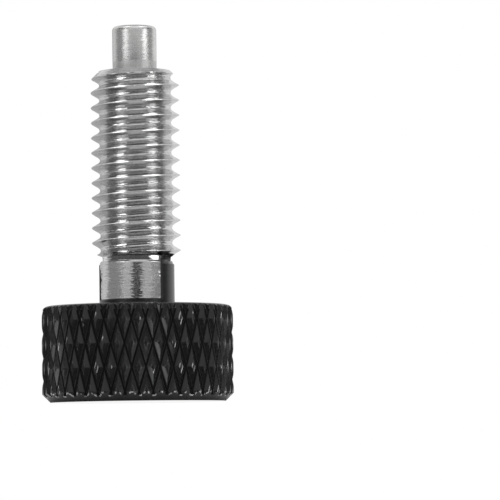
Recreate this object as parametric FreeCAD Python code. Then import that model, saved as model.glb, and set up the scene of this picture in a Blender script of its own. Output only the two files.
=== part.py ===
import FreeCAD, Part
import math
import os

# Indexing plunger with a threaded sleeve, a sprung locating pin and a knurled pull knob.
# Millimetres. The origin is the centre of the knob's flat underside, and +Z runs along the
# pull axis towards the pin's nose. The front of the plunger as pictured looks along -Y.

# Knurled knob
knob_diameter = 12.7
knob_height = 6.38
knob_bottom_chamfer = 0.55
knob_top_round = 0.45
knob_blank_margin = 0.03

# Diamond knurl: rows of four-sided pyramids, each row half a tooth on from the one below
knurl_teeth = 42
knurl_depth = 0.25
knurl_row_rise = 1.57
knurl_first_row_height = 0.62
knurl_facing_angle = -89.4

# Hub on the knob, with a two-lug tang that keys into the sleeve's slotted tail
hub_diameter = 5.0
hub_ring_height = 0.37
tang_height = 2.53
tang_width = 2.18
tang_top_chamfer = 0.2
tang_direction = -21.5

# Threaded sleeve
thread_major_diameter = 5.9
thread_pitch = 1.0
thread_depth = 0.565
thread_root_flat = 0.22
thread_flank_angle = 30.0
thread_first_crest_rise = 0.095
thread_length = 12.05
tail_diameter = 4.78
tail_length = 2.5
neck_diameter = 4.6
neck_length = 0.37
shoulder_height = 0.33
front_chamfer_angle = 45.0
rear_wall_thickness = 1.27
bore_mouth_chamfer = 0.12

# Locating pin, one turned piece from the nose to the stem pressed into the knob
nose_diameter = 2.95
nose_protrusion = 3.0
nose_edge_round = 0.3
nose_land_inside = 0.1
pin_relief_length = 0.6
pin_relief_depth = 0.2
stem_diameter = 1.5
stem_press_length = 4.2
stem_end_chamfer = 0.15
stem_hole_spare = 0.4

# Compression spring between the sleeve's rear wall and the pin's shoulder
spring_length_at_rest = 5.4
spring_wire = 0.3
spring_turns = 7.0
spring_end_turns = 1.0
spring_end_gap = 0.06
spring_steps_per_turn = 12
spring_wire_sides = 8

# Clearances, all radial or per side
nose_clearance = 0.025
stem_clearance = 0.05
slot_side_clearance = 0.025
tang_top_clearance = 0.05
spring_bore_clearance = 0.1

# Levels along the axis that follow from the sizes above
seat_z = knob_height + hub_ring_height
tang_top_z = seat_z + tang_height
neck_z = seat_z + tail_length
shoulder_z = neck_z + neck_length
thread_z = shoulder_z + shoulder_height
front_z = thread_z + thread_length
slot_top_z = tang_top_z + tang_top_clearance
bore_floor_z = slot_top_z + rear_wall_thickness
pin_shoulder_z = bore_floor_z + spring_length_at_rest
nose_tip_z = front_z + nose_protrusion
nose_land_z = front_z - nose_land_inside
stem_end_z = seat_z - stem_press_length

thread_major_radius = thread_major_diameter / 2
thread_root_radius = thread_major_radius - thread_depth
bore_radius = nose_diameter / 2 + nose_clearance

UP = FreeCAD.Vector(0, 0, 1)
CENTRE = FreeCAD.Vector(0, 0, 0)


def point(radius, z):
    """A point of a turned profile: distance from the axis, and height."""
    return FreeCAD.Vector(radius, 0, z)


def polar(radius, degrees, z):
    angle = math.radians(degrees)
    return FreeCAD.Vector(radius * math.cos(angle), radius * math.sin(angle), z)


def lines(points):
    return [Part.makeLine(a, b) for a, b in zip(points, points[1:])]


def turned(edges):
    """A solid of revolution from the closed outline that these edges make."""
    face = Part.Face(Part.Wire(edges))
    return face.revolve(CENTRE, UP, 360)


def rod(radius, low, high):
    return Part.makeCylinder(radius, high - low, FreeCAD.Vector(0, 0, low))


def corner_arc(centre, radius, start, end):
    """An arc of a turned profile, from one angle to another above the radial direction."""
    angles = [math.radians(a) for a in (start, (start + end) / 2, end)]
    spots = [centre + point(radius * math.cos(a), radius * math.sin(a)) for a in angles]
    return Part.Arc(*spots).toShape(), spots[0], spots[2]


def plate_across_axis(width, length, low, high):
    """A flat bar through the axis, turned so that its length lies along the tang."""
    bar = Part.makeBox(length, width, high - low, FreeCAD.Vector(-length / 2, -width / 2, low))
    bar.rotate(CENTRE, UP, tang_direction)
    return bar


def faceted_solid(rings, first_diagonal):
    """A closed solid of flat triangles through rings of points, each ring with the same count.

    first_diagonal(ring, column) says which way the four-sided cell above that point is split.
    """
    columns = len(rings[0])
    facets = []
    for ring, (lower, upper) in enumerate(zip(rings, rings[1:])):
        for column in range(columns):
            here, beside = lower[column], lower[(column + 1) % columns]
            above, across = upper[column], upper[(column + 1) % columns]
            if first_diagonal(ring, column):
                facets += [(here, beside, above), (beside, across, above)]
            else:
                facets += [(here, beside, across), (here, across, above)]
    facets += [rings[0], rings[-1]]
    shell = Part.makeShell([Part.Face(Part.makePolygon([*f, f[0]])) for f in facets])
    shell.sewShape()
    solid = Part.Solid(shell)
    if solid.Volume < 0:
        solid.reverse()
    return solid


def knurl_tube():
    """A solid whose side is nothing but the knurl's pyramid facets, longer than the knob both ways."""
    half_tooth = 180.0 / knurl_teeth
    rows_below = math.ceil(knurl_first_row_height / knurl_row_rise)
    rows_above = math.ceil((knob_height - knurl_first_row_height) / knurl_row_rise)

    def is_tip(row, column):
        return (row - rows_below + column) % 2 == 0

    def vertex(row, column):
        radius = knob_diameter / 2 - (0 if is_tip(row, column) else knurl_depth)
        angle = knurl_facing_angle + (column + 1) * half_tooth
        return polar(radius, angle, knurl_first_row_height + (row - rows_below) * knurl_row_rise)

    rows = range(rows_below + rows_above + 1)
    rings = [[vertex(row, column) for column in range(2 * knurl_teeth)] for row in rows]
    return faceted_solid(rings, is_tip)


def knob_envelope():
    """The turned outline of the knob's head, a little outside the tips of the knurl."""
    side = knob_diameter / 2 + knob_blank_margin
    foot = knob_diameter / 2 - knob_bottom_chamfer
    round_centre = point(knob_diameter / 2 - knob_top_round, knob_height - knob_top_round)
    reach = knob_top_round + knob_blank_margin
    top_angle = math.degrees(math.asin(knob_top_round / reach))
    edge, edge_start, edge_end = corner_arc(round_centre, reach, 0, top_angle)
    flank = [CENTRE, point(foot, 0), point(side, side - foot), edge_start]
    lid = [edge_end, point(0, knob_height), CENTRE]
    return turned(lines(flank) + [edge] + lines(lid))


def hub():
    """The hub's ring and, above it, the tang with its chamfered ends."""
    radius = hub_diameter / 2
    rim = tang_top_z - tang_top_chamfer
    low = knob_height / 2
    outline = [point(0, low), point(radius, low), point(radius, rim)]
    outline += [point(radius - tang_top_chamfer, tang_top_z), point(0, tang_top_z), point(0, low)]
    post = turned(lines(outline))
    ring = rod(radius, low, seat_z)
    tang = post.common(plate_across_axis(tang_width, 2 * hub_diameter, low, tang_top_z))
    return ring.fuse(tang)


def knurled_knob():
    head = knurl_tube().common(knob_envelope())
    hole = rod(stem_diameter / 2, stem_end_z - stem_hole_spare, tang_top_z)
    return head.fuse(hub()).removeSplitter().cut(hole)


def groove_turn(start_z):
    """One turn of the right-hand trapezoid groove, from +X round to +X one pitch higher."""
    overshoot = 0.08 * thread_pitch
    spread = math.tan(math.radians(thread_flank_angle)) * (thread_depth + overshoot)
    root_half = thread_root_flat / 2
    outer = thread_major_radius + overshoot
    corners = [
        point(thread_root_radius, start_z - root_half),
        point(outer, start_z - root_half - spread),
        point(outer, start_z + root_half + spread),
        point(thread_root_radius, start_z + root_half),
    ]
    profile = Part.makePolygon([*corners, corners[0]])
    helix = Part.makeHelix(thread_pitch, thread_pitch, thread_root_radius)
    helix.translate(FreeCAD.Vector(0, 0, start_z))
    return Part.Wire(helix.Edges).makePipeShell([profile], True, True)


def with_thread(blank):
    """The blank with the groove cut turn by turn, running out past both ends."""
    first_groove = thread_z + thread_first_crest_rise + thread_pitch / 2
    turns_below = math.ceil((shoulder_height + thread_first_crest_rise) / thread_pitch) + 1
    turns_above = math.ceil((front_z - first_groove) / thread_pitch) + 1
    for turn in range(-turns_below, turns_above):
        blank = blank.cut(groove_turn(first_groove + turn * thread_pitch))
    return blank


def thread_blank():
    """The turned blank of the thread: rear shoulder cone, major diameter and front chamfer."""
    chamfer_drop = thread_depth / math.tan(math.radians(front_chamfer_angle))
    outline = [
        point(0, shoulder_z),
        point(neck_diameter / 2, shoulder_z),
        point(thread_major_radius, thread_z),
        point(thread_major_radius, front_z - chamfer_drop),
        point(thread_root_radius, front_z),
        point(0, front_z),
        point(0, shoulder_z),
    ]
    return turned(lines(outline))


def sleeve_tail():
    """Undercut neck and tail, slotted from the rear so that two tongues are left."""
    tail = rod(tail_diameter / 2, seat_z, neck_z).fuse(rod(neck_diameter / 2, neck_z, shoulder_z))
    slot_width = tang_width + 2 * slot_side_clearance
    slot = plate_across_axis(slot_width, 2 * tail_diameter, seat_z - tang_height, slot_top_z)
    return tail.cut(slot)


def sleeve_bore():
    """Front bore with its chamfered mouth, and the smaller hole for the stem behind it."""
    stem_hole_radius = stem_diameter / 2 + stem_clearance
    mouth = front_z - bore_mouth_chamfer
    outline = [
        point(0, seat_z),
        point(stem_hole_radius, seat_z),
        point(stem_hole_radius, bore_floor_z),
        point(bore_radius, bore_floor_z),
        point(bore_radius, mouth),
        point(bore_radius + bore_mouth_chamfer, front_z),
        point(0, front_z),
        point(0, seat_z),
    ]
    return turned(lines(outline))


def threaded_sleeve():
    threaded = with_thread(thread_blank())
    return threaded.fuse(sleeve_tail()).removeSplitter().cut(sleeve_bore())


def locating_pin():
    nose = nose_diameter / 2
    stem = stem_diameter / 2
    relief_top = nose_land_z
    relief_low = nose_land_z - pin_relief_length
    tip_centre = point(nose - nose_edge_round, nose_tip_z - nose_edge_round)
    edge, edge_start, edge_end = corner_arc(tip_centre, nose_edge_round, 0, 90)
    shaft = [
        point(0, stem_end_z),
        point(stem - stem_end_chamfer, stem_end_z),
        point(stem, stem_end_z + stem_end_chamfer),
        point(stem, pin_shoulder_z),
        point(nose, pin_shoulder_z),
        point(nose, relief_low),
        point(nose - pin_relief_depth, relief_low),
        point(nose - pin_relief_depth, relief_top),
        point(nose, relief_top),
        edge_start,
    ]
    cap = [edge_end, point(0, nose_tip_z), point(0, stem_end_z)]
    return turned(lines(shaft) + [edge] + lines(cap))


def spring_height_at(turn):
    """Height of the wire's centre line: nearly closed end turns, evenly open turns between."""
    end_pitch = spring_wire + spring_end_gap
    open_turns = spring_turns - 2 * spring_end_turns
    open_pitch = (spring_length_at_rest - 2 * spring_end_turns * end_pitch) / open_turns
    if turn < spring_end_turns:
        return turn * end_pitch
    if turn < spring_end_turns + open_turns:
        return spring_end_turns * end_pitch + (turn - spring_end_turns) * open_pitch
    return spring_length_at_rest - (spring_turns - turn) * end_pitch


def pin_spring():
    """Wire of many flats along the coil, with both ends ground flat on their seats."""
    wire_radius = spring_wire / 2
    coil_radius = bore_radius - spring_bore_clearance - wire_radius
    steps = round(spring_turns * spring_steps_per_turn)

    def ring(step):
        turn = spring_turns * step / steps
        spots = []
        for side in range(spring_wire_sides):
            around = math.radians(360 * (side + 0.5) / spring_wire_sides)
            radius = coil_radius + wire_radius * math.cos(around)
            height = bore_floor_z + spring_height_at(turn) + wire_radius * math.sin(around)
            spots.append(polar(radius, 360 * turn, height))
        return spots

    wire = faceted_solid([ring(step) for step in range(steps + 1)], lambda ring, column: False)
    return wire.common(rod(bore_radius, bore_floor_z, pin_shoulder_z))


def write(name, shape):
    solids = shape.Solids
    solid = solids[0] if len(solids) == 1 else Part.makeCompound(solids)
    solid.exportStep("parts/" + name + ".step")
    volume = round(solid.Volume, 3)
    print(name, len(solids), "solid", solid.isValid(), volume, "mm3", len(solid.Faces), "faces")


os.makedirs("parts", exist_ok=True)
write("threaded_sleeve", threaded_sleeve())
write("locating_pin", locating_pin())
write("pin_spring", pin_spring())
write("knurled_knob", knurled_knob())
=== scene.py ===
import bmesh
import bpy
import math
import numpy as np
from mathutils import Matrix, Vector, noise


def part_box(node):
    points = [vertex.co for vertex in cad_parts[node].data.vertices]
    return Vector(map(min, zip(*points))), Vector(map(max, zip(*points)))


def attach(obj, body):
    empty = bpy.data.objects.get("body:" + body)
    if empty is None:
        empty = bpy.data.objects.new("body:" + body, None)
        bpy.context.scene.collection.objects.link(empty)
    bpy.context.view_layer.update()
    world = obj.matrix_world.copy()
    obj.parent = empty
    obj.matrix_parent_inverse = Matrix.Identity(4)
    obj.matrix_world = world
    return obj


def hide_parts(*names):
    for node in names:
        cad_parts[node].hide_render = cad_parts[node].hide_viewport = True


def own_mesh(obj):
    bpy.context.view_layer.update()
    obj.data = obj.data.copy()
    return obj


# Indexing plunger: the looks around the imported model. Lengths are in millimetres here, and
# MM turns them into the scene's metres. The object stands on its knob, with +Z along the pull
# axis and the pictured side towards -Y.
MM = 0.001

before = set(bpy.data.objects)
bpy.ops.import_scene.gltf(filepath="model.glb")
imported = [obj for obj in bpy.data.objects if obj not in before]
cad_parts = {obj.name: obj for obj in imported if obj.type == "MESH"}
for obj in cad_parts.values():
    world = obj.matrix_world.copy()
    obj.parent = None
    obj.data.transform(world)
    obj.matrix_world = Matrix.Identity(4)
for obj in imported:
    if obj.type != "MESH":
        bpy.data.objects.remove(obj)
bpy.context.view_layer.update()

# Levels along the axis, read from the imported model
seat_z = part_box("threaded_sleeve")[0].z / MM
front_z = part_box("threaded_sleeve")[1].z / MM
tang_top_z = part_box("knurled_knob")[1].z / MM
stem_end_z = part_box("locating_pin")[0].z / MM
nose_tip_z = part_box("locating_pin")[1].z / MM
spring_floor_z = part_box("pin_spring")[0].z / MM
pin_shoulder_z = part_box("pin_spring")[1].z / MM

# Thread of the sleeve, right-handed
major_radius = 2.95
root_radius = 2.385
pitch = 1.0
flank_angle = math.radians(30)
crest_half_flat = 0.02
crest_softness = 0.04
root_softness = 0.22
first_crest_z = 10.045
tool_mark_pitch = 0.165
tool_mark_depth = 0.007
nick_seed = 11
nick_count = 60
nick_widths = (0.08, 0.3)
nick_depths = (0.01, 0.05)

# Neck, shoulder and slotted tail of the sleeve
neck_z = 9.32
shoulder_z = 9.62
thread_z = 9.88
neck_radius = 2.27
neck_top_radius = 2.296
neck_step = 0.02
tail_radius = 2.39
tail_chamfer = 0.04
tail_rows = 50
tongue_edge_height = 0.09
tongue_edge_depth = 0.025
slot_width = 2.23
slot_top_z = 9.8
tang_direction = math.radians(-21.5)

# Ragged burr on the tail, along the edges of the slot
burr_offset = 0.03
burr_width = 0.2
burr_height = 0.07
burr_evenness = 0.8
burr_share_at_seat = 0.5
burr_share_on_right = 0.45
burr_noise_round = 0.5
burr_noise_along = 4.0

# Bore of the sleeve, and its mesh
bore_radius = 1.5
mouth_chamfer = 0.12
stem_hole_radius = 0.8
sleeve_columns = 200
sleeve_sharp_degrees = 38

# Pin. Its nose is ground to size above nose_ground_height, measured from the sleeve's front.
nose_radius = 1.475
nose_round = 0.3
nose_round_steps = 8
nose_root_height = 0.55
nose_root_inset = 0.004
nose_ground_height = 0.62
land_inside = 0.1
land_chamfer = 0.05
land_inset = 0.02
relief_depth = 0.2
relief_length = 0.6
stem_radius = 0.75
stem_chamfer = 0.15
pin_columns = 160
pin_sharp_degrees = 40

# Spring
spring_wire = 0.3
spring_turns = 7.0
spring_radius = 1.25
spring_end_gap = 0.06
wire_steps = 280
wire_sides = 12
wire_sharp_degrees = 50

# Knob
knob_radius = 6.35
knob_height = 6.38
knob_chamfer = 0.55
knob_round = 0.45
knob_round_rows = 13
knob_sharp_degrees = 19
hub_radius = 2.5
hub_chamfer = 0.03

# Knurl, of pyramids in staggered rows
knurl_teeth = 42
knurl_depth = 0.345
knurl_rise = 1.57
knurl_first_z = 0.62
knurl_facing = math.radians(-89.4)
columns_per_half_tooth = 12
edge_row_step = 0.055

# Its tips and grooves, in shares of a whole pyramid's height
knurl_tip_flat = 0.25
knurl_root = 0.87
knurl_edge = 0.08

# Worn places of the knurl, and painted shade in its grooves. The margins and the groove shade's
# softness are shares of a pyramid.
worn_edge_depth = 0.018
worn_tip_margin = 0.004
worn_rib_margin = 0.1
worn_end_width = 0.035
worn_end_rise = 0.05
groove_shade_softness = 0.08

# Noise that lays the coat bare: its scales across and along the axis, its shift, the level
# where bare places begin and how softly they do
edge_noise = (2.3, 1.1, 0.0, 0.27, 0.08)
end_noise = (5.3, 5.3, 40.0, 0.03, 0.1)
barest = 0.9

# Tang, one bar through the knob's axis
tang_width = 2.18
tang_chamfer = 0.2
tang_inset = 0.004
tang_sink = 0.15
tang_columns = 180
tang_sharp_degrees = 30

# How far a cutting bar stands out past what it cuts, and the sizes that count as none
cutter_margin = 1.0
merge_distance = 1e-4
empty_size = 1e-5


def soft_min(a, b, width):
    """The smaller of two values, with the corner between them rounded over this width."""
    share = np.clip(0.5 + 0.5 * (b - a) / width, 0.0, 1.0)
    return b * (1 - share) + a * share - width * share * (1 - share)


def soft_max(a, b, width):
    """The larger of two values, with the corner between them rounded over this width."""
    return -soft_min(-a, -b, width)


def mesh_piece(name, points, faces, body, slot, node, sharp_degrees):
    """A welded piece that stands for a node, with its edges sharp from an angle on."""
    mesh = bpy.data.meshes.new(name)
    mesh.from_pydata([tuple(p) for p in np.asarray(points) * MM], [], faces)
    weld(mesh)
    mesh.shade_smooth()
    mesh.set_sharp_from_angle(angle=math.radians(sharp_degrees))
    piece = bpy.data.objects.new(name, mesh)
    bpy.context.scene.collection.objects.link(piece)
    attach(piece, body)
    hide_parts(node)
    return piece


def weld(mesh):
    """Merges points that coincide, drops empty faces and turns the others outwards."""
    work = bmesh.new()
    work.from_mesh(mesh)
    bmesh.ops.remove_doubles(work, verts=work.verts, dist=merge_distance * MM)
    bmesh.ops.dissolve_degenerate(work, edges=work.edges, dist=empty_size * MM)
    bmesh.ops.recalc_face_normals(work, faces=work.faces)
    work.to_mesh(mesh)
    work.free()


class Turned:
    """Points and faces of a turned solid, ring by ring, all with the same number of columns."""

    def __init__(self, columns):
        self.columns = columns
        self.angles = np.arange(columns) * 2 * math.pi / columns
        self.points = []
        self.faces = []

    def ring(self, radius, z):
        """Adds a ring, its radius and z single values or one for each column. Returns its index."""
        radius = np.broadcast_to(radius, self.columns)
        z = np.broadcast_to(z, self.columns)
        first = len(self.points)
        self.points += list(zip(radius * np.cos(self.angles), radius * np.sin(self.angles), z))
        return first

    def skin(self, lower, upper):
        for i in range(self.columns):
            k = (i + 1) % self.columns
            self.faces.append((lower + i, lower + k, upper + k, upper + i))

    def fitted_skin(self, lower, upper, middle):
        """Two triangles a cell, split along the diagonal nearer to the cell's true middle."""
        for i in range(self.columns):
            k = (i + 1) % self.columns
            corners = [lower + i, lower + k, upper + k, upper + i]
            radii = [math.hypot(*self.points[corner][:2]) for corner in corners]
            rising = abs((radii[0] + radii[2]) / 2 - middle[i])
            falling = abs((radii[1] + radii[3]) / 2 - middle[i])
            a, b, c, d = corners
            self.faces += [(a, b, c), (a, c, d)] if rising < falling else [(a, b, d), (b, c, d)]

    def profile(self, corners):
        """Rings through (radius, z) corners, skinned in turn. Returns the first and last ring."""
        rings = [self.ring(r, z) for r, z in corners]
        for lower, upper in zip(rings, rings[1:]):
            self.skin(lower, upper)
        return rings[0], rings[-1]

    def cap(self, ring, z):
        centre = len(self.points)
        self.points.append((0.0, 0.0, z))
        for i in range(self.columns):
            self.faces.append((ring + i, ring + (i + 1) % self.columns, centre))


def arc_corners(centre_radius, centre_z, radius, start, end, steps):
    """Profile corners along an arc, its angles in degrees."""
    angles = np.radians(np.linspace(start, end, steps + 1))
    return [(centre_radius + radius * math.cos(a), centre_z + radius * math.sin(a)) for a in angles]


def cut_with(piece, cutter, sharp_degrees, operation="DIFFERENCE"):
    """Applies a boolean of two meshes, marks the sharp edges anew and removes the cutter."""
    modifier = piece.modifiers.new("cut", "BOOLEAN")
    modifier.operation = operation
    modifier.solver = "EXACT"
    modifier.object = cutter
    graph = bpy.context.evaluated_depsgraph_get()
    made = bpy.data.meshes.new_from_object(piece.evaluated_get(graph))
    piece.modifiers.clear()
    piece.data = made
    made.set_sharp_from_angle(angle=math.radians(sharp_degrees))
    bpy.data.objects.remove(cutter)


def plate(name, width, length, low, high):
    """A bar through the axis whose length lies along the tang."""
    work = bmesh.new()
    bmesh.ops.create_cube(work, size=1.0)
    bmesh.ops.scale(work, vec=Vector((length, width, high - low)) * MM, verts=work.verts)
    bmesh.ops.translate(work, vec=Vector((0, 0, (low + high) / 2)) * MM, verts=work.verts)
    turn = Matrix.Rotation(tang_direction, 3, "Z")
    bmesh.ops.rotate(work, cent=(0, 0, 0), matrix=turn, verts=work.verts)
    mesh = bpy.data.meshes.new(name)
    work.to_mesh(mesh)
    work.free()
    bar = bpy.data.objects.new(name, mesh)
    bpy.context.scene.collection.objects.link(bar)
    return bar


def thread_radius(offset):
    """Radius of the thread's section at an axial distance from the middle of a crest."""
    away = np.abs(offset - np.round(offset / pitch) * pitch)
    flank = major_radius - (away - crest_half_flat) / math.tan(flank_angle)
    ridge = soft_min(flank, major_radius, crest_softness)
    on_flank = np.sin(math.pi * np.clip(away / (pitch / 2), 0, 1))
    marks = np.sin(2 * math.pi * offset / tool_mark_pitch) * on_flank
    return soft_max(ridge, root_radius, root_softness) + tool_mark_depth * marks


def sleeve_envelope(z):
    """Radius of the blank that the thread is cut into, from the rear shoulder to the front."""
    levels = [shoulder_z, thread_z, front_z - (major_radius - root_radius), front_z]
    return np.interp(z, levels, [neck_top_radius, major_radius, major_radius, root_radius])


def crest_nicks(angle, z):
    """Small dents where handling has flattened the crests, as a depth at each point."""
    rng = np.random.default_rng(nick_seed)
    depth = np.zeros_like(z)
    for _ in range(nick_count):
        at_z = rng.uniform(thread_z, front_z)
        at_angle = rng.uniform(0, 2 * math.pi)
        width = rng.uniform(*nick_widths)
        across = np.angle(np.exp(1j * (angle - at_angle))) * major_radius
        depth += rng.uniform(*nick_depths) * np.exp(-(across**2 + (z - at_z) ** 2) / width**2)
    return depth


def threaded_rod(turned):
    """The thread from the rear shoulder to the front chamfer, its rows following the helix.

    The rows start turns_below turns under the first crest. Where they lie beyond the shoulder or
    the front they are pressed flat onto it, and the cells without height are left out.
    """
    crest_rows = np.linspace(0.0, 0.08, 5)
    flank_rows = np.linspace(0.12, 0.5, 12)
    turns_below = 2
    half_turn = [*crest_rows, *flank_rows]
    samples = half_turn + [1 - share for share in reversed(half_turn[1:-1])]
    turns = math.ceil((front_z - shoulder_z) / pitch) + turns_below + 1
    base = first_crest_z - turns_below * pitch
    rise = turned.angles / (2 * math.pi) * pitch
    starts = [base + turn * pitch + sample * pitch for turn in range(turns) for sample in samples]
    z = np.array([np.clip(start + rise, shoulder_z, front_z) for start in starts])
    angle = np.broadcast_to(turned.angles, z.shape)
    offset = z - first_crest_z - angle / (2 * math.pi) * pitch
    radius = np.minimum(thread_radius(offset), sleeve_envelope(z))
    inner = (z > shoulder_z) & (z < front_z)
    exposed = np.clip((radius - root_radius) / (major_radius - root_radius), 0, 1) ** 2
    radius = np.where(inner, radius - crest_nicks(angle, z) * exposed, radius)
    first = len(turned.points)
    columns = turned.columns
    for k in range(len(z)):
        turned.ring(radius[k], z[k])
    for k in range(len(z) - 1):
        for i in range(columns):
            ahead = (k, i + 1) if i + 1 < columns else (k + len(samples), 0)
            if ahead[0] + 1 >= len(z):
                continue
            spots = [(k, i), ahead, (ahead[0] + 1, ahead[1]), (k + 1, i)]
            heights = [z[spot] for spot in spots]
            if max(heights) > min(heights):
                turned.faces.append(tuple(first + row * columns + column for row, column in spots))


def tail_wall(angle, z):
    """Radius of the tail, with the ragged burr that the saw has left beside the slot."""
    across = np.abs(np.sin(angle - tang_direction)) * tail_radius - slot_width / 2
    lip = np.clip(1 - np.abs(across - burr_offset) / burr_width, 0, 1) ** 2
    size = burr_noise_round
    height = burr_noise_along * z
    ragged = [noise.noise((size * math.sin(a), size * math.cos(a), height)) for a in angle]
    rough = np.clip(burr_evenness + np.array(ragged), 0, 1)
    fade = np.clip((z - seat_z) / (neck_z - seat_z), burr_share_at_seat, 1)
    side = np.where(np.cos(angle) > 0, burr_share_on_right, 1.0)
    return tail_radius + burr_height * lip * rough * fade * side


def make_sleeve():
    turned = Turned(sleeve_columns)
    tongue_edge_z = neck_z - tongue_edge_height
    tail_levels = np.linspace(seat_z + tail_chamfer, tongue_edge_z, tail_rows)
    turned.profile(
        [
            (root_radius, front_z),
            (bore_radius + mouth_chamfer, front_z),
            (bore_radius, front_z - mouth_chamfer),
            (bore_radius, spring_floor_z),
            (stem_hole_radius, spring_floor_z),
            (stem_hole_radius, seat_z),
            (tail_radius - tail_chamfer, seat_z),
            *[(tail_wall(turned.angles, z), z) for z in tail_levels],
            (tail_radius - tongue_edge_depth, neck_z),
            (neck_radius, neck_z + neck_step),
            (neck_top_radius, shoulder_z),
        ]
    )
    threaded_rod(turned)
    role = ("sleeve", "sleeve_steel", "threaded_sleeve")
    piece = mesh_piece("sleeve_thread", turned.points, turned.faces, *role, sleeve_sharp_degrees)
    low = seat_z - cutter_margin
    cutter = plate("slot_cutter", slot_width, 4 * tail_radius, low, slot_top_z)
    cut_with(piece, cutter, sleeve_sharp_degrees)
    return piece


def make_pin():
    """The pin from its stem's end, over the shoulder, guide, relief and land, to its nose."""
    land_z = front_z - land_inside
    relief_z = land_z - relief_length
    relief_radius = nose_radius - relief_depth
    round_centre = (nose_radius - nose_round, nose_tip_z - nose_round)
    corners = [
        (stem_radius - stem_chamfer, stem_end_z),
        (stem_radius, stem_end_z + stem_chamfer),
        (stem_radius, pin_shoulder_z),
        (nose_radius, pin_shoulder_z),
        (nose_radius, relief_z),
        (relief_radius, relief_z),
        (relief_radius, land_z - land_chamfer),
        (nose_radius - land_inset, land_z),
        (nose_radius - nose_root_inset, front_z + nose_root_height),
        (nose_radius, front_z + nose_ground_height),
        *arc_corners(*round_centre, nose_round, 0, 90, nose_round_steps),
    ]
    turned = Turned(pin_columns)
    first, last = turned.profile(corners)
    turned.cap(first, stem_end_z)
    turned.cap(last, nose_tip_z)
    role = ("plunger", "pin_steel", "locating_pin")
    return mesh_piece("pin_ground", turned.points, turned.faces, *role, pin_sharp_degrees)


def spring_height(turn):
    """Height of the wire's middle after some turns: close at both ends, even between them."""
    end_pitch = spring_wire + spring_end_gap
    length = pin_shoulder_z - spring_floor_z
    turns = [0, 1.0, spring_turns - 1.0, spring_turns]
    return np.interp(turn, turns, [0, end_pitch, length - end_pitch, length])


def make_spring():
    """Round wire, its ground ends flattened onto their seats."""
    points = []
    for step in range(wire_steps + 1):
        turn = spring_turns * step / wire_steps
        angle = 2 * math.pi * turn
        for side in range(wire_sides):
            around = 2 * math.pi * side / wire_sides
            radius = spring_radius + spring_wire / 2 * math.cos(around)
            z = spring_floor_z + spring_height(turn) + spring_wire / 2 * math.sin(around)
            z = min(max(z, spring_floor_z), pin_shoulder_z)
            points.append((radius * math.cos(angle), radius * math.sin(angle), z))
    faces = []
    for step in range(wire_steps):
        low = step * wire_sides
        high = low + wire_sides
        for side in range(wire_sides):
            k = (side + 1) % wire_sides
            faces.append((low + side, low + k, high + k, high + side))
    last = wire_steps * wire_sides
    faces += [tuple(range(wire_sides)), tuple(last + k for k in range(wire_sides))]
    role = ("sleeve", "spring_steel", "pin_spring")
    piece = mesh_piece("spring_coil", points, faces, *role, wire_sharp_degrees)
    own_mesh(piece)
    return piece


def knurl_ribs(angle, z):
    """How far a point lies across each of the two sets of slanting ribs, in half teeth."""
    along = (angle - knurl_facing) / (math.pi / knurl_teeth) + 1
    up = (z - knurl_first_z) / knurl_rise
    return along + up, along - up


def knurl_height(angle, z):
    """Height of the knurl in shares of a whole pyramid: 0 at the cut-off tips, flat at the root."""
    p, q = knurl_ribs(angle, z)
    away = np.maximum(np.abs(p - 2 * np.round(p / 2)), np.abs(q - 2 * np.round(q / 2)))
    flank = soft_min(knurl_tip_flat - away, 0.0, knurl_edge)
    return soft_max(flank, knurl_tip_flat - knurl_root, knurl_edge)


def knob_envelope(z):
    """Radius of the blank that the knurl is cut into: a chamfered foot and a rounded top edge."""
    foot = knob_radius - knob_chamfer + np.clip(z, 0, knob_chamfer)
    over = np.clip(z - (knob_height - knob_round), 0, knob_round)
    top = knob_radius - knob_round + np.sqrt(knob_round**2 - over**2)
    return np.minimum(foot, top)


def knob_surface(angle, z):
    knurl = knob_radius + knurl_depth * knurl_height(angle, z)
    return np.minimum(knurl, knob_envelope(z))


def knob_levels():
    """Levels of the knob's rows, lined up with the knurl between the chamfer and the top edge."""
    row_step = knurl_rise / columns_per_half_tooth
    reach = math.ceil(knob_height / row_step)
    rows = knurl_first_z + row_step * np.arange(-reach, reach)
    round_z = knob_height - knob_round
    middle = rows[(rows > knob_chamfer) & (rows < round_z - row_step / 2)]
    foot = np.arange(0, middle[0] - edge_row_step / 2, edge_row_step)
    rounded = round_z + knob_round * np.sin(np.radians(np.linspace(0, 90, knob_round_rows)))
    return np.concatenate([foot, middle, rounded])


def make_knob():
    turned = Turned(2 * knurl_teeth * columns_per_half_tooth)
    turned.angles = turned.angles + knurl_facing
    levels = knob_levels()
    rings = [turned.ring(knob_surface(turned.angles, z), z) for z in levels]
    half_column = math.pi / turned.columns
    for k in range(len(rings) - 1):
        middle = knob_surface(turned.angles + half_column, (levels[k] + levels[k + 1]) / 2)
        turned.fitted_skin(rings[k], rings[k + 1], middle)
    turned.cap(rings[0], 0.0)
    _, hub_end = turned.profile(
        [
            (knob_radius - knob_round, knob_height),
            (hub_radius, knob_height),
            (hub_radius, seat_z - hub_chamfer),
            (hub_radius - hub_chamfer, seat_z),
        ]
    )
    turned.cap(hub_end, seat_z)
    role = ("plunger", "knob_black", "knurled_knob")
    piece = mesh_piece("knob_knurled", turned.points, turned.faces, *role, knob_sharp_degrees)
    mark_wear_and_groove_shade(piece.data)
    return piece


def bareness(spots, across, along, shift, start, softness):
    """How bare the coat is at each spot: bare where the noise rises past its start."""
    places = [(p.x * across + shift, p.y * across, p.z * along) for p in spots]
    ragged = np.array([noise.noise(place) for place in places])
    return np.clip((ragged - start) / softness, 0, barest)


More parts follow.
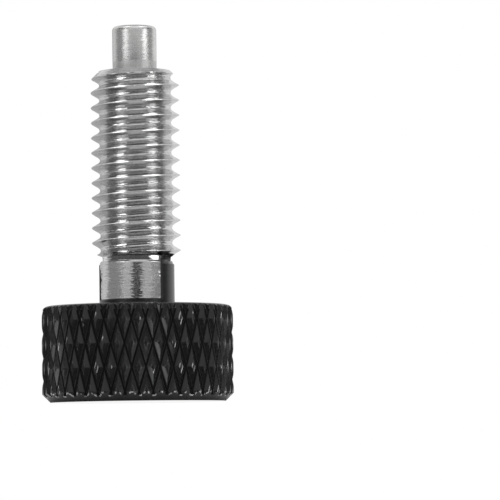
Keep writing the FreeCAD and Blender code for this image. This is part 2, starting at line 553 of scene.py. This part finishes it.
def mark_wear_and_groove_shade(mesh):
    """Stores how bare each point of the knob is, and how deep it lies in a groove for painted
    groove shade, from 0 to 1.

    The coat is worn off along the edges of one set of ribs, and at the ribs' lower ends.
    """
    spots = [point.co / MM for point in mesh.vertices]
    x, y, z = np.array(spots).T
    angle = np.arctan2(y, x)
    radius = np.hypot(x, y)
    height = knurl_height(angle, z)
    _, rib = knurl_ribs(angle, z)
    beside = np.abs(np.mod(rib + 1, 2) - 1) > knurl_tip_flat - worn_rib_margin
    on_edge = (radius > knob_radius - worn_edge_depth) & (height < -worn_tip_margin) & beside
    past_foot = knob_radius + knurl_depth * height - (knob_radius - knob_chamfer + z)
    at_foot = (np.abs(past_foot) < worn_end_width) & (z < knob_chamfer + worn_end_rise)
    bare_edges = on_edge * bareness(spots, *edge_noise)
    bare_ends = at_foot * bareness(spots, *end_noise)
    # Mask of painted shade in the knurl's grooves, where the cut goes below the chamfer
    above_root = height - (knurl_tip_flat - knurl_root)
    cut_through = (past_foot < 0) & (z < knob_height - knob_round)
    groove_shade_mask = np.clip(1 - above_root / groove_shade_softness, 0, 1) * cut_through
    for label, values in (("worn", bare_edges + bare_ends), ("groove", groove_shade_mask)):
        layer = mesh.attributes.new(label, "FLOAT", "POINT")
        layer.data.foreach_set("value", np.clip(values, 0, 1).astype(np.float32))


def make_tang():
    """The two lugs that key into the sleeve's slot, one bar through the axis."""
    turned = Turned(tang_columns)
    radius = hub_radius - tang_inset
    low = seat_z - tang_sink
    first, last = turned.profile(
        [
            (radius, low),
            (radius, tang_top_z - tang_chamfer),
            (radius - tang_chamfer, tang_top_z),
        ]
    )
    turned.cap(first, low)
    turned.cap(last, tang_top_z)
    role = ("plunger", "knob_black", "knurled_knob")
    piece = mesh_piece("knob_tang", turned.points, turned.faces, *role, tang_sharp_degrees)
    ends = (seat_z - cutter_margin, tang_top_z + cutter_margin)
    cutter = plate("tang_cutter", tang_width, 4 * hub_radius, *ends)
    cut_with(piece, cutter, tang_sharp_degrees, "INTERSECT")
    return piece


class Nodes:
    """Shorthand for building a node tree."""

    def __init__(self, tree, output_kind):
        self.tree = tree
        self.tree.nodes.clear()
        self.output = self.node(output_kind)

    def node(self, kind, **settings):
        made = self.tree.nodes.new(kind)
        for key, value in settings.items():
            setattr(made, key, value)
        return made

    def link(self, source, target):
        self.tree.links.new(source, target)

    def feed(self, socket, value):
        """Links another socket to this one, or sets it to a plain value."""
        if isinstance(value, bpy.types.NodeSocket):
            self.link(value, socket)
        else:
            socket.default_value = value

    def calc(self, operation, a, b=0.0):
        made = self.node("ShaderNodeMath", operation=operation)
        self.feed(made.inputs[0], a)
        self.feed(made.inputs[1], b)
        return made.outputs[0]

    def times(self, a, b):
        return self.calc("MULTIPLY", a, b)

    def larger(self, a, b):
        return self.calc("MAXIMUM", a, b)

    def total(self, values):
        """The sum of several values."""
        result = values[0]
        for value in values[1:]:
            result = self.calc("ADD", result, value)
        return result

    def ramp(self, factor, low, high, out_low=0.0, out_high=1.0, smooth=False):
        """Maps the range from low to high onto another one, and keeps to its ends beyond it."""
        kind = "SMOOTHSTEP" if smooth else "LINEAR"
        made = self.node("ShaderNodeMapRange", interpolation_type=kind)
        names = ("From Min", "From Max", "To Min", "To Max")
        for name, value in zip(names, (low, high, out_low, out_high)):
            made.inputs[name].default_value = value
        self.link(factor, made.inputs["Value"])
        return made.outputs["Result"]

    def band(self, value, span, height=1.0):
        """The height within a span of centre, half width and softness, falling to 0 beside it."""
        centre, half_width, soft = span
        away = self.calc("ABSOLUTE", self.calc("SUBTRACT", value, centre))
        return self.ramp(away, half_width - soft, half_width + soft, height, 0.0, smooth=True)

    def blend(self, factor, one, two):
        """A number between two others."""
        made = self.node("ShaderNodeMix", data_type="FLOAT")
        self.feed(made.inputs["Factor"], factor)
        self.feed(made.inputs[2], one)
        self.feed(made.inputs[3], two)
        return made.outputs[0]

    def mix(self, factor, one, two):
        """A colour between two others."""
        made = self.node("ShaderNodeMix", data_type="RGBA")
        self.feed(made.inputs["Factor"], factor)
        self.feed(made.inputs[6], one)
        self.feed(made.inputs[7], two)
        return made.outputs[2]

    def place(self, kind="Object"):
        return self.node("ShaderNodeTexCoord").outputs[kind]

    def split(self, vector):
        made = self.node("ShaderNodeSeparateXYZ")
        self.link(vector, made.inputs[0])
        return made.outputs

    def level(self):
        """The height on the piece, in millimetres."""
        return self.times(self.split(self.place())["Z"], 1 / MM)

    def stretched(self, across, along):
        """Places on the piece per millimetre, with one scale across the axis and one along it."""
        mapping = self.node("ShaderNodeMapping")
        mapping.inputs["Scale"].default_value = (across / MM, across / MM, along / MM)
        self.link(self.place(), mapping.inputs["Vector"])
        return mapping.outputs[0]

    def noise(self, vector, detail=3.0, roughness=0.5):
        made = self.node("ShaderNodeTexNoise")
        made.inputs["Scale"].default_value = 1.0
        made.inputs["Detail"].default_value = detail
        made.inputs["Roughness"].default_value = roughness
        self.link(vector, made.inputs["Vector"])
        return made.outputs["Fac"]

    def vector(self, operation, *terms):
        made = self.node("ShaderNodeVectorMath", operation=operation)
        for socket, term in zip([k for k in made.inputs if k.enabled], terms):
            self.feed(socket, term)
        return made.outputs[0]

    def swing(self, normal, amount):
        """The normal turned sideways round the axis, as streaks along the turning lines do."""
        aside = self.vector("CROSS_PRODUCT", (0.0, 0.0, 1.0), normal)
        moved = self.vector("SCALE", aside, amount)
        return self.vector("NORMALIZE", self.vector("ADD", normal, moved))

    def bump(self, height, depth, normal=None):
        """A normal roughened by a height of this depth in millimetres, on top of another one."""
        made = self.node("ShaderNodeBump")
        made.inputs["Strength"].default_value = 1.0
        self.feed(made.inputs["Distance"], self.times(depth, MM))
        self.link(height, made.inputs["Height"])
        if normal is not None:
            self.link(normal, made.inputs["Normal"])
        return made.outputs["Normal"]

    def surface(self, color, metallic, roughness, normal):
        made = self.node("ShaderNodeBsdfPrincipled")
        self.feed(made.inputs["Base Color"], color)
        self.feed(made.inputs["Metallic"], metallic)
        self.feed(made.inputs["Roughness"], roughness)
        self.link(normal, made.inputs["Normal"])
        self.link(made.outputs[0], self.output.inputs["Surface"])


class Shader(Nodes):
    """The node tree of a new material."""

    def __init__(self, name):
        self.material = bpy.data.materials.new(name)
        self.material.use_nodes = True
        super().__init__(self.material.node_tree, "ShaderNodeOutputMaterial")


# Finishes of the steel: roughness, depth in mm of the turning lines and of the speckled grain,
# and how far streaks along the lines swing the surface sideways
tail_finish = (0.07, 0.0006, 0.0009, 0.13)
thread_finish = (0.14, 0.003, 0.0055, 0.16)
pin_root_finish = (0.45, 0.0006, 0.0012, 0.0)
pin_finish = (0.25, 0.0006, 0.0032, 0.08)
spring_finish = (0.3, 0.0005, 0.001, 0.0)
finish_border_softness = 0.03

# Colours of the steel, in the open and in the dark specks
sleeve_colors = ((0.7, 0.7, 0.7), (0.5, 0.5, 0.5))
pin_colors = ((0.72, 0.72, 0.715), (0.58, 0.58, 0.575))
spring_colors = ((0.6, 0.6, 0.6), (0.5, 0.5, 0.5))

# Colours of the knob, its coat in the dark and the pale specks, and the bare metal
coat_dark = (0.002, 0.002, 0.002, 1.0)
coat_pale = (0.006, 0.006, 0.0062, 1.0)
bare_metal = (0.6, 0.6, 0.6, 1.0)
# Painted shade in the knurl's grooves: how far they count as black metal, and their roughness
groove_shade_metal = 0.82
groove_roughness = 0.9
underside_roughness = 0.02
coat_grain_depth = 0.001


def turned_steel(name, colors, finish, upper_finish=None, border=0.0):
    """Stainless steel, with another finish above the border where one is given."""
    s = Shader(name)
    if upper_finish:
        soft = finish_border_softness
        share = s.ramp(s.level(), border - soft, border + soft)
        finish = [s.blend(share, below, above) for below, above in zip(finish, upper_finish)]
    roughness, line_depth, grain_depth, swing = finish
    lines = s.noise(s.stretched(0.25, 14.0), detail=4.0, roughness=0.7)
    grain = s.noise(s.stretched(10.0, 10.0), detail=2.0, roughness=0.6)
    blotch = s.noise(s.stretched(0.8, 0.8), detail=3.0)
    streaks = s.noise(s.stretched(2.5, 16.0), detail=2.0)
    shade = s.ramp(s.times(s.calc("ADD", grain, lines), 0.5), 0.35, 0.65)
    bright, dark = colors
    tint = s.mix(shade, (*dark, 1.0), (*bright, 1.0))
    uneven = s.total([s.ramp(blotch, 0.3, 0.7, -0.03, 0.03), s.ramp(grain, 0.3, 0.7, -0.03, 0.05)])
    normal = s.bump(grain, grain_depth, s.bump(lines, line_depth))
    swung = s.swing(normal, s.times(s.ramp(streaks, 0.25, 0.75, -1.0, 1.0), swing))
    s.surface(tint, 1.0, s.calc("ADD", uneven, roughness), swung)
    return s.material


def black_anodised(name):
    """Black anodised aluminium, bare where the knurl is worn, and smooth on the knob's underside.

    The grooves count mostly as metal of the black colour, a painted shade that keeps them dark
    where a coat shines.
    """
    s = Shader(name)
    grain = s.noise(s.stretched(7.0, 7.0), detail=4.0, roughness=0.6)
    lines = s.noise(s.stretched(0.5, 10.0), detail=3.0, roughness=0.6)
    worn = s.node("ShaderNodeAttribute", attribute_name="worn").outputs["Fac"]
    # The groove attribute is the mask of painted shade in the knurl's grooves
    groove = s.node("ShaderNodeAttribute", attribute_name="groove").outputs["Fac"]
    black = s.mix(s.ramp(grain, 0.35, 0.65), coat_dark, coat_pale)
    above_underside = s.ramp(s.level(), 0.005, 0.03)
    coat_roughness = s.blend(groove, s.ramp(grain, 0.3, 0.7, 0.18, 0.28), groove_roughness)
    roughness = s.blend(above_underside, underside_roughness, coat_roughness)
    depth = s.times(above_underside, coat_grain_depth)
    normal = s.bump(grain, depth, s.bump(lines, depth))
    # Painted shade: the grooves count as metal of the black colour, so they reflect next to nothing
    metallic = s.larger(worn, s.times(groove, groove_shade_metal))
    s.surface(s.mix(worn, black, bare_metal), metallic, roughness, normal)
    return s.material


def dress(piece, material):
    piece.data.materials.clear()
    piece.data.materials.append(material)


# Light tent, in degrees: azimuth to the right of the camera and elevation. Each span is its
# centre, half width and softness, and a strength of 1 is white.
low_front_strength = 0.12
least_front_strength = 0.05
panel_azimuth = (6.0, 34.0, 5.0)
panel_strength = 0.66
zenith_strength = 0.6
backdrop_strip_elevation = (-1.3, 1.3, 0.3)

# Lamps in front of the object: an azimuth span, then elevation spans with their strengths
camera_shade = ((0.0, 15.5, 4.0), [((-1.0, 5.0, 1.0), -0.6)])
left_lamps = (
    (-48.0, 12.0, 7.0),
    [((10.3, 5.3, 1.0), 1.65), ((-46.0, 30.5, 2.0), 4.2), ((60.0, 20.0, 3.0), 1.5)],
)
right_lamps = ((57.0, 11.0, 7.0), [((10.3, 5.3, 1.0), 1.9), ((60.0, 20.0, 3.0), 1.5)])
right_foot_lamps = ((66.0, 16.0, 7.0), [((-56.0, 24.0, 3.0), 5.6), ((-7.5, 5.0, 1.5), 2.6)])


def front_light(s, azimuth, elevation):
    """The half of the tent towards the camera: dim, with a panel overhead and lamps beside it."""
    aside = s.calc("ABSOLUTE", azimuth)
    steep = s.calc("ABSOLUTE", elevation)
    above_horizon = s.ramp(elevation, -3.0, 4.0, smooth=True)
    overhead = s.ramp(elevation, 13.0, 21.0, smooth=True)
    level_belt = s.calc("SUBTRACT", above_horizon, overhead)
    belt_light = s.ramp(aside, 38.0, 60.0, 0.53, 0.24, smooth=True)
    near_poles = s.ramp(steep, 30.0, 44.0, 0.0, 1.1)
    parts = [
        low_front_strength,
        s.times(belt_light, level_belt),
        s.times(s.band(azimuth, panel_azimuth, panel_strength), overhead),
        s.times(near_poles, s.ramp(aside, 30.0, 56.0, 0.27, 1.0)),
    ]
    for azimuth_span, lamps in (camera_shade, left_lamps, right_lamps, right_foot_lamps):
        upright = s.total([s.band(elevation, span, strength) for span, strength in lamps])
        parts.append(s.times(s.band(azimuth, azimuth_span), upright))
    return s.larger(s.total(parts), least_front_strength)


def back_light(s, azimuth, elevation):
    """The half of the tent behind the object: white walls, dimmer right behind and at the poles."""
    aside = s.calc("ABSOLUTE", azimuth)
    steep = s.calc("ABSOLUTE", elevation)
    left_wall = s.ramp(aside, 135.0, 160.0, 0.78, 0.5)
    right_wall = s.ramp(aside, 135.0, 160.0, 0.92, 0.8)
    wall = s.blend(s.ramp(azimuth, -1.0, 1.0), left_wall, right_wall)
    wall = s.blend(s.ramp(elevation, 18.0, 26.0), wall, 0.95)
    fade = s.ramp(steep, 30.0, 60.0, 1.0, 0.45, smooth=True)
    return s.larger(s.times(wall, fade), s.band(elevation, backdrop_strip_elevation))


def make_world():
    """A light tent round the object, which shows plain white to the camera itself."""
    world = bpy.data.worlds.new("tent")
    world.use_nodes = True
    bpy.context.scene.world = world
    s = Nodes(world.node_tree, "ShaderNodeOutputWorld")
    x, y, z = s.split(s.place("Generated"))
    per_radian = math.degrees(1)
    azimuth = s.times(s.calc("ARCTAN2", x, s.times(y, -1.0)), per_radian)
    elevation = s.times(s.calc("ARCSINE", z), per_radian)
    behind = s.ramp(s.calc("ABSOLUTE", azimuth), 96.0, 122.0, smooth=True)
    front = front_light(s, azimuth, elevation)
    back = back_light(s, azimuth, elevation)
    walls = s.blend(behind, front, back)
    strength = s.blend(s.ramp(elevation, 68.0, 78.0), walls, zenith_strength)
    seen = s.larger(strength, s.node("ShaderNodeLightPath").outputs["Is Camera Ray"])
    background = s.node("ShaderNodeBackground")
    background.inputs["Color"].default_value = (1, 1, 1, 1)
    s.link(seen, background.inputs["Strength"])
    s.link(background.outputs[0], s.output.inputs["Surface"])


# Floor, a hair below the knob's underside, and the ring of it that shows in reflections
floor_half_width = 600.0
floor_drop = 0.001
floor_color = (0.86, 0.86, 0.86, 1)
floor_glow = 0.4
contact_span = (6.66, 0.84, 0.02)


def make_floor():
    """A pale floor, clear from below and clear to shadow rays and reflections.

    The camera sits a little below it. Only the ring under the knob's chamfer shows in
    reflections. The object stands on its knob, so the floor stays under the knob when it is
    pulled.
    """
    mesh = bpy.data.meshes.new("floor")
    half = floor_half_width * MM
    corners = [(-half, -half, 0), (half, -half, 0), (half, half, 0), (-half, half, 0)]
    mesh.from_pydata(corners, [], [(0, 1, 2, 3)])
    floor = bpy.data.objects.new("floor", mesh)
    bpy.context.scene.collection.objects.link(floor)
    floor.location.z = -floor_drop * MM
    s = Shader("pale_floor")
    rays = s.node("ShaderNodeLightPath").outputs
    diffuse = s.node("ShaderNodeBsdfDiffuse")
    diffuse.inputs["Color"].default_value = floor_color
    glow = s.node("ShaderNodeEmission")
    s.link(s.times(rays["Is Camera Ray"], floor_glow), glow.inputs["Strength"])
    lit = s.node("ShaderNodeAddShader")
    s.link(diffuse.outputs[0], lit.inputs[0])
    s.link(glow.outputs[0], lit.inputs[1])
    from_below = s.node("ShaderNodeNewGeometry").outputs["Backfacing"]
    span = s.node("ShaderNodeVectorMath", operation="LENGTH")
    s.link(s.place(), span.inputs[0])
    contact = s.band(s.times(span.outputs["Value"], 1 / MM), contact_span)
    mirrored = s.times(rays["Is Glossy Ray"], s.calc("SUBTRACT", 1.0, contact))
    passing = s.larger(mirrored, rays["Is Shadow Ray"])
    mix = s.node("ShaderNodeMixShader")
    s.link(s.larger(from_below, passing), mix.inputs[0])
    s.link(lit.outputs[0], mix.inputs[1])
    s.link(s.node("ShaderNodeBsdfTransparent").outputs[0], mix.inputs[2])
    s.link(mix.outputs[0], s.output.inputs["Surface"])
    dress(floor, s.material)
    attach(floor, "plunger")


# Camera: distance and height from the knob's underside, angles in degrees, and a focal length
# in the frame's pixels
camera_distance = 250.0
camera_height = -3.76
camera_yaw = -1.7265
camera_pitch = 3.15
camera_roll = -0.723
camera_focal_px = 3767.7
frame_px = 500
sensor_width = 36.0


def make_camera():
    data = bpy.data.cameras.new("camera")
    data.sensor_fit = "HORIZONTAL"
    data.sensor_width = sensor_width
    data.lens = camera_focal_px * sensor_width / frame_px
    data.clip_start = 0.01
    camera = bpy.data.objects.new("camera", data)
    bpy.context.scene.collection.objects.link(camera)
    turn = Matrix.Rotation(math.radians(camera_yaw), 4, "Z")
    tilt = Matrix.Rotation(math.radians(90 + camera_pitch), 4, "X")
    roll = Matrix.Rotation(math.radians(camera_roll), 4, "Z")
    place = Matrix.Translation(Vector((0, -camera_distance, camera_height)) * MM)
    camera.matrix_world = place @ turn @ tilt @ roll
    bpy.context.scene.camera = camera


sleeve = make_sleeve()
pin = make_pin()
spring = make_spring()
knob = make_knob()
tang = make_tang()

pin_border_z = front_z + nose_ground_height
dress(sleeve, turned_steel("sleeve_steel", sleeve_colors, tail_finish, thread_finish, shoulder_z))
dress(pin, turned_steel("pin_steel", pin_colors, pin_root_finish, pin_finish, pin_border_z))
dress(spring, turned_steel("spring_steel", spring_colors, spring_finish))
black = black_anodised("knob_black")
dress(knob, black)
dress(tang, black)

make_world()
make_floor()
make_camera()

bpy.context.scene.view_settings.view_transform = "Standard"
